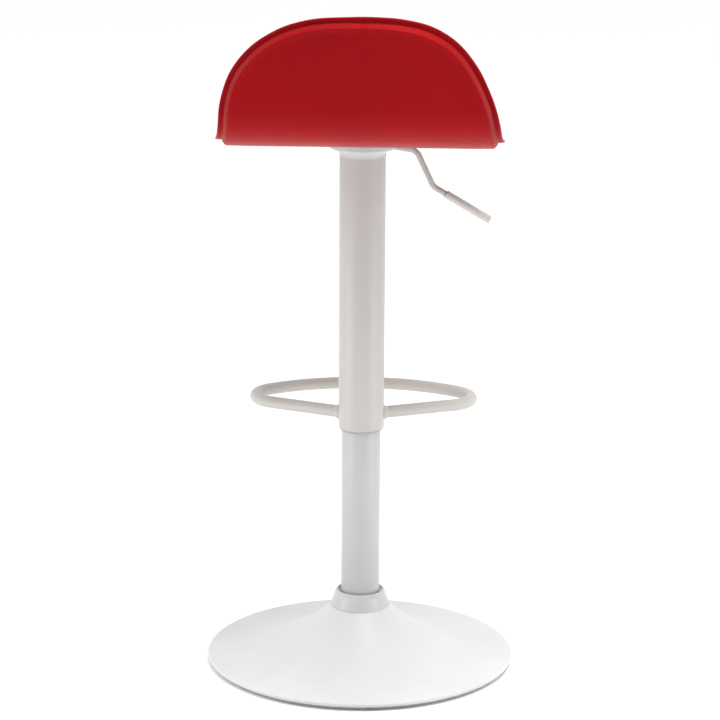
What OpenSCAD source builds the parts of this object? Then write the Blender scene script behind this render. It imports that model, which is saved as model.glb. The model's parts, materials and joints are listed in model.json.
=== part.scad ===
// Adjustable swivel stool: trumpet base, gas-sprung column, footrest loop and a bent low-back seat.
// Origin on the column axis at the floor, +Z up, the sitter faces +Y, the lever is on +X.

/* [Base] */
// Diameter of the base over its rim
base_d = 408; // [380:1:430]
// Height of the base shell's neck
base_neck_z = 76; // [66:1:80]
// Radius of the neck's flat top
base_neck_r = 38; // [37:1:42]
// How sharply the trumpet curves up towards the neck
base_curve = 2.4; // [2.0:0.1:3.0]
// Height of the shell's rim above the floor
rim_z = 5; // [4.5:0.5:7]
// Height of the collar's top edge
collar_top_z = 97; // [94:1:102]

/* [Column] */
// Outer diameter of the fixed lower tube
lower_tube_d = 51; // [48:0.5:51.5]
// Outer diameter of the sliding cover tube
cover_tube_d = 60; // [60:0.5:64]
// Height of the cover tube's lower edge with the seat fully up
cover_bottom_z = 322.5; // [318:0.5:326]
// Height of the cover tube's upper edge
cover_top_z = 687; // [686:1:691]
// Wall of both painted tubes
tube_wall = 1.5; // [1.2:0.1:2]

/* [Footrest] */
// Diameter of the footrest bar
foot_bar_d = 16; // [14:1:18]
// Height of the footrest's centreline
foot_z = 341.5; // [337:0.5:360]
// Angle of the two side bars, away from the X axis
foot_side_angle = 23; // [22:0.5:25]
// Radius of the corner bends
foot_corner_r = 37; // [34:1:40]
// Radius of the front bow
foot_bow_r = 225; // [215:1:235]
// Reach of the front bow, to its centreline
foot_reach = 149; // [146:1:154]

/* [Seat] */
// Width of the seat over the corners of its sewn edge
seat_w = 365; // [350:1:380]
// Height of the seat's underside
seat_z = 716; // [715:0.5:717]
// Radius of the bend between seat and back, on the outer side
seat_bend_r = 80; // [70:1:90]
// Distance behind the column where the bend begins
seat_bend_y = 85; // [80:1:90]
// Lean of the back
back_lean = 12; // [6:1:16]
// Height of the back's top edge above the floor
back_top_z = 895; // [886:1:900]
// Distance from the column to the seat's front edge
seat_front_y = 185; // [175:1:190]
// Thickness of the padded seat
seat_t = 28; // [26:0.5:32]

/* [Lever] */
// Diameter of the lever's rod
lever_rod_d = 7.5; // [6.5:0.5:8]
// Diameter of the grip sleeve
grip_d = 10.4; // [10:0.2:12]
// Length of the grip sleeve
grip_l = 67; // [60:1:70]
// Distance of the lever's pivot from the column axis
pivot_x = 26; // [25:0.5:27]

/* [Hidden] */
$fn = 96;

// Colours
paint_white = [0.93, 0.93, 0.92];
paint_grey = [0.80, 0.80, 0.79];
paint_greige = [0.78, 0.76, 0.74];
plastic_white = [0.90, 0.91, 0.92];
leather_red = [0.62, 0.04, 0.08];
steel = [0.66, 0.67, 0.69];
brass = [0.72, 0.58, 0.30];
black = [0.12, 0.12, 0.13];
rubber_grey = [0.52, 0.52, 0.51];
wood = [0.80, 0.66, 0.46];
felt = [0.85, 0.84, 0.78];
foam = [0.88, 0.86, 0.74];

// Base
base_r = base_d / 2;
shell_t = 2;
rim_h = 5;
cover_plate_z = 1.5;
cover_plate_t = 2;
ring_in_r = base_r - 14;
ring_out_r = base_r - 6;
ring_lip = 1.5;
ballast_r = 160;
ballast_in_r = 28;
ballast_t = 6;
ballast_z = cover_plate_z + cover_plate_t;
hub_z = ballast_z + ballast_t;
hub_flange_t = 5;
hub_wall = 6;
collar_t = 2.5;
collar_top_r = 31;

// Lower tube and the thrust bearing at its foot
fit_gap = 0.1;
lower_r = lower_tube_d / 2;
lower_in_r = lower_r - tube_wall;
tube_foot_z = hub_z + hub_flange_t;
lower_tube_top_z = 440;
end_plate_t = 5;
rod_r = 5;
rod_stub_r = 4;
bearing_r = 12;
washer_t = 1.5;
ball_r = 1.6;
ball_count = 14;
ball_ring_r = 8.6;
lower_washer_z = tube_foot_z + end_plate_t;
ball_z = lower_washer_z + washer_t + ball_r;
upper_washer_z = ball_z + ball_r;
rod_shoulder_z = upper_washer_z + washer_t;
bump_stop_h = 16;
clip_t = 1.5;
clip_groove_r = 3.2;
clip_groove_z = tube_foot_z - 0.4 - clip_t;

// Gas spring
cyl_r = 14;
cyl_bore_r = 12;
cyl_bottom_z = 300;
cyl_bore_top_z = 640;
cyl_top_z = 690;
taper_z = 652;
taper_top_r = 13.3;
guide_t = 15;
seal_t = 5.5;
piston_z = cyl_bottom_z + 1 + guide_t + seal_t + 2.5;
piston_t = 14;
seal_groove_h = 4;
seal_groove_r = 9;
pin_r = 3;
pin_top_z = 701.3;
pin_bottom_z = 646;
valve_r = 6;
valve_top_z = 668;

// Cover tube
cover_r = cover_tube_d / 2;
cover_in_r = cover_r - tube_wall;
slide_ring_h = 22;
hanger_z = 676;
hanger_t = 6;
hub_top_r = 22;
socket_bottom_z = 660;

// Footrest loop, worked out so that side bar, corner and bow run into each other smoothly
foot_r = foot_bar_d / 2;
foot_wall = 1.5;
foot_start = [cover_r, 5];
foot_dir = [cos(foot_side_angle), sin(foot_side_angle)];
foot_normal = [-foot_dir[1], foot_dir[0]];
bow_centre = [0, foot_reach - foot_bow_r];
bow_to_start = foot_start + foot_corner_r * foot_normal - bow_centre;
bow_dot = bow_to_start * foot_dir;
side_l = -bow_dot + sqrt(bow_dot * bow_dot - bow_to_start * bow_to_start
    + pow(foot_bow_r - foot_corner_r, 2));
corner_centre = foot_start + side_l * foot_dir + foot_corner_r * foot_normal;
bow_angle = atan2(corner_centre[1] - bow_centre[1], corner_centre[0]);
side_root = 12;
bow_lap = 0.15;

// Joints of bent bars: how far a straight run laps into a bend, and the bend's step down in radius
bar_lap = 0.3;
bar_step = 0.02;

// Flared collar under the seat, with an upright rim
flare_r = 11;
flare_t = 2;
flare_rim = 4;
flare_top_z = 706.5;
notch_w = 18;

// Lever
lever_drop = 8.9;
lever_steep = 65;
lever_grip_angle = 30.5;
pivot_z = 701.5;
pivot_r = 2;
eye_r = 5.5;
eye_w = 7;
lever_in_x = -4;
lever_elbow = [69.5, 694.7];
lever_knee = [91.6, 647.5];
elbow_r = 16;
knee_r = 18;
lever_rod_r = lever_rod_d / 2;
grip_start = 19;
ear_t = 2.5;
ear_y = 5;

// Seat layers, as distances from the outer (under and rear) face
cover_t = 1.2;
board_in = 3.2;
board_t = 10;
board_out = board_in + board_t;
flange_in = 8;
flange_t = 3.5;
flange_w = 8.5;
board_margin = 18;
half_w = seat_w / 2;
corner_flare = 5;
corner_y = -99;
corner_z = 727;
dome_z = 730;
dome_h = back_top_z - dome_z;
dome_power = 2.9;
dome_foot_z = 764;
plan_power = 2.6;
plan_y = -95;
plan_narrow = 4;
waterfall_y = 130;
waterfall_r = 180;
waterfall_angle = 18;
back_l = 130;

// Seat plate and its bolts
plate_w = 140;
plate_t = 3;
plate_corner_r = 14;
plate_z = seat_z - plate_t;
bolt_r = 3;
bolt_pitch = 52;
bolt_head_h = 2.8;
bolt_head_r = 6;
washer_r = 9;
bolt_washer_t = 1.2;
tee_barrel_r = 3.9;
tee_barrel_l = 8.5;
tee_flange_r = 9;
tee_flange_t = 1.2;

// ---------- helpers ----------

// Points of an arc about a centre
function arc(centre, r, a0, a1, n) = [
    for (i = [0:n])
        let (a = a0 + (a1 - a0) * i / n)
        centre + r * [cos(a), sin(a)]
];

function reversed(list) = [for (i = [len(list) - 1:-1:0]) list[i]];

// A ring with a straight bore
module ring(r_in, r_out, z, h) {
    translate([0, 0, z])
        difference() {
            cylinder(r = r_out, h = h);
            translate([0, 0, -1])
                cylinder(r = r_in, h = h + 2);
        }
}

// Copies of a child at the four bolt places
module at_bolts() {
    for (x = [-bolt_pitch, bolt_pitch], y = [-bolt_pitch, bolt_pitch])
        translate([x, y, 0])
            children();
}

// A square plate with round corners, centred on the column
module rounded_plate(w, corner_r, h) {
    straight = w - 2 * corner_r;
    linear_extrude(height = h)
        union() {
            square([w, straight], center = true);
            square([straight, w], center = true);
            for (x = [-1, 1], y = [-1, 1])
                translate([x * straight / 2, y * straight / 2])
                    circle(r = corner_r);
        }
}

// ---------- base ----------

// Height of the shell's upper face at radius r
function shell_z(r) =
    rim_z + rim_h + (base_neck_z - rim_z - rim_h) * pow((base_r - r) / (base_r - base_neck_r), base_curve);

module base_shell() {
    steps = 28;
    rim_edge = 0.8;
    radii = [for (i = [0:steps]) base_r - shell_t - (base_r - shell_t - base_neck_r) * i / steps];
    upper = [for (r = radii) [r, shell_z(r)]];
    lower = [for (r = reversed(radii)) [r, shell_z(r) - shell_t]];
    neck_hole = lower_r + hub_wall + 0.3;
    color(paint_white)
        rotate_extrude()
            polygon(concat(
                [[base_r - shell_t, rim_z], [base_r - rim_edge, rim_z], [base_r, rim_z + rim_edge]],
                [[base_r, rim_z + rim_h - rim_edge], [base_r - rim_edge, rim_z + rim_h - 0.2]],
                upper,
                [[neck_hole, base_neck_z], [neck_hole, base_neck_z - shell_t]],
                lower
            ));
}

module bottom_cover() {
    middle_hole_r = 20;
    vent_r = 4;
    vent_place = 100;
    color(black)
        difference() {
            ring(middle_hole_r, ring_in_r - 0.3, cover_plate_z, cover_plate_t);
            for (a = [0:60:300])
                rotate([0, 0, a])
                    translate([vent_place, 0, 0])
                        cylinder(r = vent_r, h = cover_plate_z + cover_plate_t + 1);
        }
}

module ballast_disc() {
    color(steel)
        ring(ballast_in_r, ballast_r, ballast_z, ballast_t);
}

// Rubber ring: its shoulder fills the rim's hollow, its foot stands back from the rim
module floor_ring() {
    shoulder_r = base_r - shell_t - 0.05;
    shoulder_z = rim_z + 0.3;
    top_z = rim_z + rim_h - shell_t - 0.05;
    lip_z = cover_plate_z + cover_plate_t + 0.2;
    color(rubber_grey)
        rotate_extrude()
            polygon([
                [ring_in_r, 1], [ring_in_r + 1, 0], [ring_out_r - 1, 0], [ring_out_r, 1],
                [ring_out_r, shoulder_z], [shoulder_r, shoulder_z], [shoulder_r, top_z],
                [ring_in_r, top_z], [ring_in_r, lip_z + ring_lip],
                [ring_in_r - ring_lip, lip_z + ring_lip], [ring_in_r - ring_lip, lip_z],
                [ring_in_r, lip_z]
            ]);
}

module base_hub() {
    bore_r = 10;
    flange_r = 70;
    socket_h = 55;
    bolt_hole_r = 4.2;
    bolt_hole_place = 52;
    color(steel)
        difference() {
            union() {
                ring(bore_r, flange_r, hub_z, hub_flange_t);
                ring(lower_r + fit_gap, lower_r + hub_wall, hub_z + hub_flange_t - 0.5, socket_h);
            }
            for (a = [45:90:315])
                rotate([0, 0, a])
                    translate([bolt_hole_place, 0, hub_z - 1])
                        cylinder(r = bolt_hole_r, h = hub_flange_t + 2);
        }
}

module base_collar() {
    foot = base_neck_z;
    color(plastic_white)
        rotate_extrude()
            polygon([
                [base_neck_r - 1, foot], [base_neck_r, foot + 1], [base_neck_r - 0.4, foot + 3],
                [collar_top_r + 0.4, collar_top_z - 1.6], [collar_top_r - 0.4, collar_top_z],
                [collar_top_r - collar_t, collar_top_z], [collar_top_r - collar_t, foot + 8],
                [base_neck_r - collar_t - 1, foot]
            ]);
}

// ---------- lower tube and thrust bearing ----------

module lower_tube() {
    color(paint_grey)
        ring(lower_in_r, lower_r, tube_foot_z, lower_tube_top_z - tube_foot_z);
}

module tube_end_plate() {
    color(steel)
        ring(rod_stub_r + 0.3, lower_in_r - fit_gap, tube_foot_z, end_plate_t);
}

module tube_guide_bush() {
    length = 80;
    lip = 3;
    relief_r = 2.4;
    relief_place = 19;
    relief_end = 6;
    color(black)
        difference() {
            union() {
                ring(cyl_r + fit_gap, lower_in_r - fit_gap, lower_tube_top_z - length, length);
                ring(cyl_r + fit_gap, lower_r - 0.4, lower_tube_top_z, lip);
            }
            for (a = [0:60:300])
                rotate([0, 0, a])
                    translate([relief_place, 0, lower_tube_top_z - length - 1])
                        cylinder(r = relief_r, h = length - relief_end);
        }
}

module thrust_washer_lower() {
    color(steel)
        ring(rod_stub_r + 0.2, bearing_r, lower_washer_z, washer_t);
}

module thrust_ball_cage() {
    cage_t = 1.2;
    color(black)
        difference() {
            ring(rod_stub_r + 0.8, bearing_r - 0.3, ball_z - cage_t / 2, cage_t);
            for (i = [0:ball_count - 1])
                rotate([0, 0, i * 360 / ball_count])
                    translate([ball_ring_r, 0, ball_z - cage_t])
                        cylinder(r = ball_r + 0.15, h = cage_t * 2);
        }
}

module thrust_balls() {
    color(steel)
        for (i = [0:ball_count - 1])
            rotate([0, 0, i * 360 / ball_count])
                translate([ball_ring_r, 0, ball_z])
                    sphere(r = ball_r - 0.02);
}

// ---------- piston rod ----------

module piston_rod() {
    top_z = piston_z + piston_t + 5;
    color(steel)
        difference() {
            union() {
                translate([0, 0, tube_foot_z - 4])
                    cylinder(r = rod_stub_r, h = rod_shoulder_z - tube_foot_z + 4);
                translate([0, 0, rod_shoulder_z])
                    cylinder(r = rod_r, h = piston_z - rod_shoulder_z);
                translate([0, 0, piston_z])
                    cylinder(r = rod_stub_r, h = top_z - piston_z);
            }
            ring(clip_groove_r, rod_stub_r + 1, clip_groove_z, clip_t);
        }
}

module rod_clip() {
    clip_r = 7;
    gap_w = 3;
    color(black)
        difference() {
            ring(clip_groove_r + 0.05, clip_r, clip_groove_z + 0.1, clip_t - 0.2);
            translate([0, -gap_w / 2, 0])
                cube([clip_r + 1, gap_w, tube_foot_z]);
        }
}

module thrust_washer_upper() {
    color(steel)
        ring(rod_stub_r + 0.05, bearing_r, upper_washer_z, washer_t);
}

module bump_stop() {
    color(black)
        rotate_extrude()
            polygon([
                [rod_r + 0.2, rod_shoulder_z], [bearing_r - 1, rod_shoulder_z],
                [bearing_r, rod_shoulder_z + 1], [bearing_r, rod_shoulder_z + 6],
                [bearing_r - 2, rod_shoulder_z + 8], [bearing_r, rod_shoulder_z + 10],
                [bearing_r, rod_shoulder_z + bump_stop_h - 2], [bearing_r - 2, rod_shoulder_z + bump_stop_h],
                [rod_r + 0.2, rod_shoulder_z + bump_stop_h]
            ]);
}

module piston() {
    color(brass)
        difference() {
            ring(rod_stub_r + 0.05, cyl_bore_r - fit_gap, piston_z, piston_t);
            ring(seal_groove_r, cyl_bore_r + 1, piston_z + (piston_t - seal_groove_h) / 2, seal_groove_h);
        }
}

module piston_seal() {
    color(black)
        ring(seal_groove_r + 0.05, cyl_bore_r - 0.05,
            piston_z + (piston_t - seal_groove_h) / 2 + 0.2, seal_groove_h - 0.4);
}

// ---------- gas cylinder ----------

module gas_cylinder() {
    color(black)
        difference() {
            union() {
                translate([0, 0, cyl_bottom_z])
                    cylinder(r = cyl_r, h = taper_z - cyl_bottom_z);
                translate([0, 0, taper_z])
                    cylinder(r1 = cyl_r, r2 = taper_top_r, h = cyl_top_z - taper_z);
            }
            translate([0, 0, cyl_bottom_z - 1])
                cylinder(r = cyl_bore_r, h = cyl_bore_top_z - cyl_bottom_z + 1);
            translate([0, 0, cyl_bore_top_z - 1])
                cylinder(r = valve_r + 0.1, h = valve_top_z - cyl_bore_top_z + 1);
            translate([0, 0, valve_top_z - 1])
                cylinder(r = pin_r + 0.3, h = cyl_top_z - valve_top_z + 2);
        }
}

module cylinder_end_guide() {
    color(brass)
        ring(rod_r + 0.08, cyl_bore_r - 0.05, cyl_bottom_z + 1, guide_t);
}

module rod_seal() {
    color(black)
        ring(rod_r + 0.1, cyl_bore_r - 0.1, cyl_bottom_z + 1 + guide_t + 0.2, seal_t - 0.4);
}

module valve_body() {
    color(brass)
        difference() {
            translate([0, 0, cyl_bore_top_z + 0.5])
                cylinder(r = valve_r, h = valve_top_z - cyl_bore_top_z - 1);
            translate([0, 0, cyl_bore_top_z - 1])
                cylinder(r = pin_r + 0.08, h = valve_top_z - cyl_bore_top_z + 2);
        }
}

module valve_pin() {
    color(steel)
        union() {
            translate([0, 0, pin_bottom_z])
                cylinder(r = pin_r, h = pin_top_z - pin_bottom_z - 1);
            translate([0, 0, pin_top_z - 1])
                cylinder(r1 = pin_r, r2 = pin_r - 0.8, h = 1);
        }
}

// ---------- cover tube ----------

module cover_tube() {
    edge = 0.6;
    color(paint_greige)
        rotate_extrude()
            polygon([
                [cover_in_r, cover_bottom_z], [cover_r - edge, cover_bottom_z],
                [cover_r, cover_bottom_z + edge], [cover_r, cover_top_z], [cover_in_r, cover_top_z]
            ]);
}

module cover_slide_ring() {
    lip_h = 3;
    color(paint_greige)
        rotate_extrude()
            polygon([
                [lower_r + fit_gap + 0.6, cover_bottom_z - lip_h], [lower_r + 1.4, cover_bottom_z - lip_h],
                [cover_r - 0.6, cover_bottom_z - 1], [cover_r - 0.6, cover_bottom_z - 0.1],
                [cover_in_r - 0.1, cover_bottom_z - 0.1], [cover_in_r - 0.1, cover_bottom_z + slide_ring_h],
                [lower_r + fit_gap, cover_bottom_z + slide_ring_h],
                [lower_r + fit_gap, cover_bottom_z - lip_h + 0.6]
            ]);
}

module cover_hanger() {
    hole_r = 1.6;
    hole_place = 25.2;
    color(steel)
        difference() {
            ring(hub_top_r + 0.05, cover_in_r - 0.05, hanger_z, hanger_t);
            for (a = [30:60:330])
                rotate([0, 0, a])
                    translate([hole_place, 0, hanger_z - 1])
                        cylinder(r = hole_r, h = hanger_t + 2);
        }
}

// ---------- bent bars ----------

// A straight round bar in the plane, from a point, run on a little at both ends
module bar_straight(from, dir_angle, length, r) {
    translate([from[0], from[1], 0])
        rotate([0, 0, dir_angle])
            translate([-bar_lap, 0, 0])
                rotate([0, 90, 0])
                    cylinder(r = r, h = length + 2 * bar_lap);
}

// A round bar bent about a centre in the plane
module bar_arc(centre, bend_r, a0, a1, r) {
    translate([centre[0], centre[1], 0])
        rotate([0, 0, a0])
            rotate_extrude(angle = a1 - a0)
                translate([bend_r, 0])
                    circle(r = r - bar_step);
}

// ---------- footrest ----------

module footrest_half(r) {
    root = foot_start - side_root * foot_dir;
    bar_straight(root, foot_side_angle, side_l + side_root, r);
    bar_arc(corner_centre, foot_corner_r, foot_side_angle - 90, bow_angle, r);
}

module footrest_loop(r) {
    footrest_half(r);
    mirror([1, 0, 0])
        footrest_half(r);
    bar_arc(bow_centre, foot_bow_r, bow_angle - bow_lap, 180 - bow_angle + bow_lap, r + 2 * bar_step);
}

module footrest_ring() {
    color(paint_greige)
        difference() {
            translate([0, 0, foot_z])
                difference() {
                    footrest_loop(foot_r);
                    footrest_loop(foot_r - foot_wall);
                }
            cylinder(r = cover_r + 0.02, h = cover_top_z);
        }
}

module weld_bead() {
    bead_l = 4;
    bead_t = 1.8;
    bead_start = foot_start - side_root * foot_dir;
    translate([bead_start[0], bead_start[1], foot_z])
        rotate([0, 0, foot_side_angle])
            rotate([0, 90, 0])
                difference() {
                    union() {
                        cylinder(r = foot_r + bead_t, h = side_root - 1);
                        translate([0, 0, side_root - 1])
                            cylinder(r1 = foot_r + bead_t, r2 = foot_r + 0.4, h = bead_l);
                    }
                    translate([0, 0, -1])
                        cylinder(r = foot_r + 0.02, h = side_root + bead_l + 2);
                }
}

module footrest_welds() {
    color(paint_greige)
        difference() {
            union() {
                weld_bead();
                mirror([1, 0, 0])
                    weld_bead();
            }
            cylinder(r = cover_r + 0.02, h = cover_top_z);
        }
}

// ---------- top of the column ----------

module top_collar() {
    flare_x = cover_r + flare_r;
    flare_z = cover_top_z + flare_r;
    rim_r = flare_x + flare_rim;
    color(plastic_white)
        difference() {
            rotate_extrude()
                polygon(concat(
                    arc([flare_x, cover_top_z], flare_r, 180, 90, 8),
                    [[rim_r - 1, flare_z], [rim_r, flare_z + 1], [rim_r, flare_top_z]],
                    [[rim_r - flare_t, flare_top_z], [rim_r - flare_t, flare_z + flare_t]],
                    arc([flare_x, cover_top_z], flare_r + flare_t, 90, 180, 8)
                ));
            translate([pivot_x - 8, -notch_w / 2, cover_top_z + 2])
                cube([60, notch_w, 40]);
        }
}

module socket_hub() {
    slot_w = 12;
    slot_z = cyl_top_z + 2;
    color(steel)
        difference() {
            ring(cyl_r + fit_gap, hub_top_r, socket_bottom_z, plate_z - socket_bottom_z);
            translate([-cyl_r, -slot_w / 2, slot_z])
                cube([cyl_r + hub_top_r + 1, slot_w, plate_z - slot_z + 1]);
        }
}

module lever_bracket() {
    ear_w = 8.8;
    ear_back = 3.3;
    color(steel)
        for (side = [-1, 1])
            translate([pivot_x, side * (ear_y + ear_t / 2), 0])
                difference() {
                    union() {
                        translate([-ear_back, -ear_t / 2, pivot_z])
                            cube([ear_w, ear_t, plate_z - pivot_z]);
                        translate([0, ear_t / 2, pivot_z])
                            rotate([90, 0, 0])
                                cylinder(r = ear_back, h = ear_t);
                    }
                    translate([0, 5, pivot_z])
                        rotate([90, 0, 0])
                            cylinder(r = pivot_r + 0.02, h = 10);
                }
}

module lever_pivot_pin() {
    pin_l = 2 * (ear_y + ear_t) + 0.6;
    color(steel)
        translate([pivot_x, pin_l / 2, pivot_z])
            rotate([90, 0, 0])
                cylinder(r = pivot_r, h = pin_l);
}

// ---------- lever ----------

// Length trimmed from each side of a corner by its bend
function trim_length(turn, bend_r) = bend_r * tan(turn / 2);

module lever_path(r_bar) {
    elbow_trim = trim_length(lever_steep - lever_drop, elbow_r);
    knee_trim = trim_length(lever_steep - lever_grip_angle, knee_r);
    arm_l = norm(lever_elbow - [lever_in_x, pivot_z + (pivot_x - lever_in_x) * tan(lever_drop)]);
    shank_l = norm(lever_knee - lever_elbow);
    arm_dir = [cos(lever_drop), -sin(lever_drop)];
    shank_dir = [cos(lever_steep), -sin(lever_steep)];
    grip_dir = [cos(lever_grip_angle), -sin(lever_grip_angle)];
    elbow_start = lever_elbow - elbow_trim * arm_dir;
    knee_end = lever_knee + knee_trim * grip_dir;
    tail_l = grip_start + grip_l - 4 - knee_trim;
    bar_straight(lever_elbow - arm_l * arm_dir, -lever_drop, arm_l - elbow_trim, r_bar);
    bar_arc(elbow_start - elbow_r * [sin(lever_drop), cos(lever_drop)], elbow_r,
        90 - lever_steep, 90 - lever_drop, r_bar);
    bar_straight(lever_elbow + elbow_trim * shank_dir, -lever_steep, shank_l - elbow_trim - knee_trim, r_bar);
    bar_arc(knee_end + knee_r * [sin(lever_grip_angle), cos(lever_grip_angle)], knee_r,
        270 - lever_steep, 270 - lever_grip_angle, r_bar);
    bar_straight(knee_end, -lever_grip_angle, tail_l, r_bar);
}

module lever_rod() {
    color(paint_greige)
        difference() {
            union() {
                rotate([90, 0, 0])
                    lever_path(lever_rod_r);
                translate([pivot_x, eye_w / 2, pivot_z])
                    rotate([90, 0, 0])
                        cylinder(r = eye_r, h = eye_w);
            }
            translate([pivot_x, eye_w, pivot_z])
                rotate([90, 0, 0])
                    cylinder(r = pivot_r + 0.06, h = 2 * eye_w);
        }
}

module lever_grip() {
    grip_r = grip_d / 2;
    bore = lever_rod_r + 0.02;
    color(plastic_white)
        translate([lever_knee[0], 0, lever_knee[1]])
            rotate([0, 90 + lever_grip_angle, 0])
                rotate_extrude()
                    polygon([
                        [bore, grip_start], [grip_r - 0.5, grip_start], [grip_r, grip_start + 0.6],
                        [grip_r, grip_start + grip_l - 1], [grip_r - 1, grip_start + grip_l],
                        [0, grip_start + grip_l], [0, grip_start + grip_l - 3],
                        [bore, grip_start + grip_l - 3]
                    ]);
}

// ---------- seat plate ----------

module seat_plate() {
    rib_h = 1;
    rib_w = 6;
    rib_l = 24;
    color(paint_white)
        difference() {
            union() {
                translate([0, 0, plate_z])
                    rounded_plate(plate_w, plate_corner_r, plate_t);
                for (a = [45:90:315])
                    rotate([0, 0, a])
                        translate([hub_top_r + 4, -rib_w / 2, plate_z - rib_h])
                            cube([rib_l, rib_w, rib_h + 0.5]);
            }
            at_bolts()
                translate([0, 0, plate_z - 20])
                    cylinder(r = bolt_r + 0.4, h = 40);
            translate([0, 0, plate_z - 20])
                cylinder(r = cyl_r - 4, h = 40);
        }
}

module plate_bolts() {
    head_z = plate_z - bolt_washer_t - bolt_head_h;
    key_r = 2.9;
    color(steel)
        at_bolts()
            difference() {
                union() {
                    translate([0, 0, head_z])
                        cylinder(r = bolt_head_r, h = bolt_head_h);
                    translate([0, 0, plate_z - bolt_washer_t - 0.1])
                        cylinder(r = bolt_r - 0.05, h = seat_z + board_out - plate_z + 0.5);
                }
                translate([0, 0, head_z - 1])
                    cylinder(r = key_r, h = bolt_head_h, $fn = 6);
            }
}

module bolt_washers() {
    color(steel)
        at_bolts()
            ring(bolt_r + 0.2, washer_r, plate_z - bolt_washer_t, bolt_washer_t);
}

module tee_nuts() {
    top = seat_z + board_out;
    color(steel)
        at_bolts()
            union() {
                ring(bolt_r, tee_barrel_r, top - tee_barrel_l, tee_barrel_l + 0.1);
                ring(bolt_r, tee_flange_r, top, tee_flange_t);
            }
}

// ---------- seat shell ----------

// Side line of the seat at a distance in from its outer face, front edge first
function seat_line(inset) =
    let (
        bend_centre = [-seat_bend_y, seat_z + seat_bend_r],
        bend_end = bend_centre + (seat_bend_r - inset) * [-cos(back_lean), -sin(back_lean)]
    )
    concat(
        arc([waterfall_y, seat_z - waterfall_r], waterfall_r + inset, 90 - waterfall_angle, 90, 4),
        arc(bend_centre, seat_bend_r - inset, 270, 180 + back_lean, 13),
        [bend_end + back_l * [-sin(back_lean), cos(back_lean)]]
    );

// Outline of the back seen from behind, drawn in by a margin: a dome whose foot flares to the corners
module back_outline(margin) {
    steps = 12;
    w = half_w - corner_flare - margin;
    h = dome_h - margin;
    foot_angle = asin((dome_foot_z - dome_z) / dome_h);
    dome = [
        for (i = [0:steps])
            let (a = foot_angle + (90 - foot_angle) * i / steps)
            [w * pow(cos(a), 2 / dome_power), dome_z + h * sin(a)]
    ];
    right = concat([[half_w - margin, dome_z - 80], [half_w - margin, corner_z]], dome);
    left = [for (i = [len(right) - 2:-1:0]) [-right[i][0], right[i][1]]];
    polygon(concat(right, left));
}

// Outline of the seat seen from above, drawn in by a margin: widest at the corners, narrower to the front
module plan_outline(margin) {
    steps = 12;
    w = half_w - plan_narrow - margin;
    d = seat_front_y - margin - plan_y;
    front = [
        for (i = [0:steps])
            let (a = 90 * i / steps)
            [w * pow(cos(a), 2 / plan_power), plan_y + d * pow(sin(a), 2 / plan_power)]
    ];
    right = concat([[half_w - margin, -260], [half_w - margin, corner_y]], front);
    left = [for (i = [len(right) - 2:-1:0]) [-right[i][0], right[i][1]]];
    polygon(concat(right, left));
}

// One layer of the seat between two distances from the outer face
module seat_layer(from, to, margin) {
    intersection() {
        rotate([90, 0, 90])
            linear_extrude(height = seat_w + 20, center = true)
                polygon(concat(seat_line(from), reversed(seat_line(to))));
        rotate([90, 0, 0])
            linear_extrude(height = 600, center = true)
                back_outline(margin);
        translate([0, 0, seat_z - 60])
            linear_extrude(height = 300)
                plan_outline(margin);
    }
}

module bolt_holes(r) {
    at_bolts()
        translate([0, 0, seat_z - 10])
            cylinder(r = r, h = board_out + 20);
}

module seat_board() {
    color(wood)
        difference() {
            seat_layer(board_in, board_out, board_margin);
            bolt_holes(tee_barrel_r + 0.1);
        }
}

module rear_padding() {
    color(felt)
        difference() {
            seat_layer(cover_t + 0.05, board_in - 0.05, board_margin + 1);
            bolt_holes(tee_barrel_r + 1);
        }
}

module seat_cover_back() {
    color(leather_red)
        difference() {
            union() {
                seat_layer(0, cover_t, flange_w - 2);
                difference() {
                    seat_layer(cover_t - 0.3, flange_in - 0.05, flange_w - 2);
                    seat_layer(cover_t - 1, flange_in + 1, flange_w - 2 + cover_t);
                }
            }
            bolt_holes(bolt_r + 1);
        }
}

module seat_seam_flange() {
    color(leather_red)
        difference() {
            seat_layer(flange_in, flange_in + flange_t, 0);
            seat_layer(flange_in - 2, flange_in + flange_t + 2, flange_w + 1.7);
        }
}

module seat_foam() {
    color(foam)
        difference() {
            seat_layer(board_out + 0.1, seat_t - cover_t, flange_w + 1.5);
            at_bolts()
                translate([0, 0, seat_z + board_out])
                    cylinder(r = tee_flange_r + 1, h = tee_flange_t + 1);
        }
}

module seat_cover_top() {
    wall = flange_w - 0.3;
    color(leather_red)
        difference() {
            seat_layer(flange_in + flange_t + 0.05, seat_t, wall);
            seat_layer(flange_in + flange_t - 1, seat_t - cover_t + 0.05, wall + cover_t);
        }
}

base_shell();
bottom_cover();
ballast_disc();
floor_ring();
base_hub();
base_collar();
lower_tube();
tube_end_plate();
tube_guide_bush();
thrust_washer_lower();
thrust_ball_cage();
thrust_balls();
piston_rod();
piston();
piston_seal();
thrust_washer_upper();
bump_stop();
rod_clip();
gas_cylinder();
cylinder_end_guide();
rod_seal();
valve_body();
valve_pin();
cover_tube();
cover_slide_ring();
cover_hanger();
footrest_ring();
footrest_welds();
top_collar();
socket_hub();
lever_bracket();
lever_pivot_pin();
lever_rod();
lever_grip();
seat_plate();
plate_bolts();
bolt_washers();
tee_nuts();
seat_board();
rear_padding();
seat_foam();
seat_cover_top();
seat_cover_back();
seat_seam_flange();
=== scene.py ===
"""Adjustable swivel stool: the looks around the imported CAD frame. Metres, +Z up, the sitter faces +Y."""

import json
import math
import random

import bmesh
import bpy
import numpy as np
from mathutils import Matrix, Vector


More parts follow.
